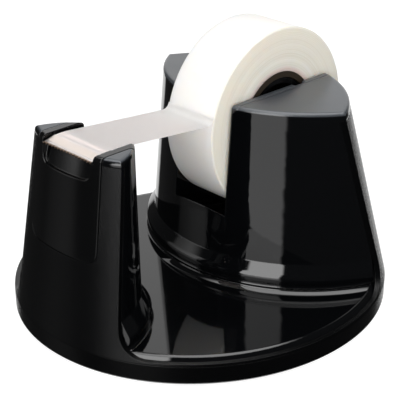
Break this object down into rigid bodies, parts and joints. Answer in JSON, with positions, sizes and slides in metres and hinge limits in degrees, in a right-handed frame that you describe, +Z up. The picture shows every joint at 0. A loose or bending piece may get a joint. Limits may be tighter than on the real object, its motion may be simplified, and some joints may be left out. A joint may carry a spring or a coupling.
{
  "type": "desk tape dispenser",
  "caption": "Round-based desk tape dispenser: tape roll on a hub between two rear towers, toothed cutter and thumb recess on a shorter front tower.",
  "frame": {"origin": "on the desk under the middle of the round foot", "axes": "+Z up, -Y towards the cutter at the front, X along the roll's axle"},
  "size_m": [0.1108, 0.117, 0.0801],
  "materials": {
    "matte_black": "fine spark-eroded mould texture",
    "gloss_black": "polished moulding",
    "satin_black": "smooth satin moulding",
    "blade_steel": "spring steel strip, ground teeth",
    "base_plastic": "plain moulding",
    "ballast_iron": "rough casting, hidden",
    "grip_rubber": "matt non-slip rubber",
    "screw_steel": "zinc plated",
    "hub_plastic": "plain moulding",
    "core_plastic": "dark core ring",
    "tape_white": "wound translucent matt tape",
    "tape_film": "single layer of translucent matt tape"
  },
  "bodies": {
    "housing": {"outer_shell": "matte_black", "inner_cover": "gloss_black", "blade_carrier": "satin_black", "cutter_blade": "blade_steel", "base_plate": "base_plastic", "ballast_weight": "ballast_iron", "grip_ring": "grip_rubber", "base_screw_1": "screw_steel", "base_screw_2": "screw_steel", "base_screw_3": "screw_steel", "base_screw_4": "screw_steel"},
    "free_tape": {"tape_strip": "tape_film"},
    "roll": {"roll_hub": "hub_plastic", "tape_core": "core_plastic", "tape_roll": "tape_white"}
  },
  "joints": [
    {"name": "roll_lift", "type": "slide", "parent": "housing", "child": "free_tape", "axis": [0, 0.549, 0.8358], "range_m": [0, 0.06]},
    {"name": "roll_spin", "type": "hinge", "parent": "free_tape", "child": "roll", "pos_m": [0, 0.0233, 0.0518], "axis": [1, 0, 0], "continuous": true}
  ]
}
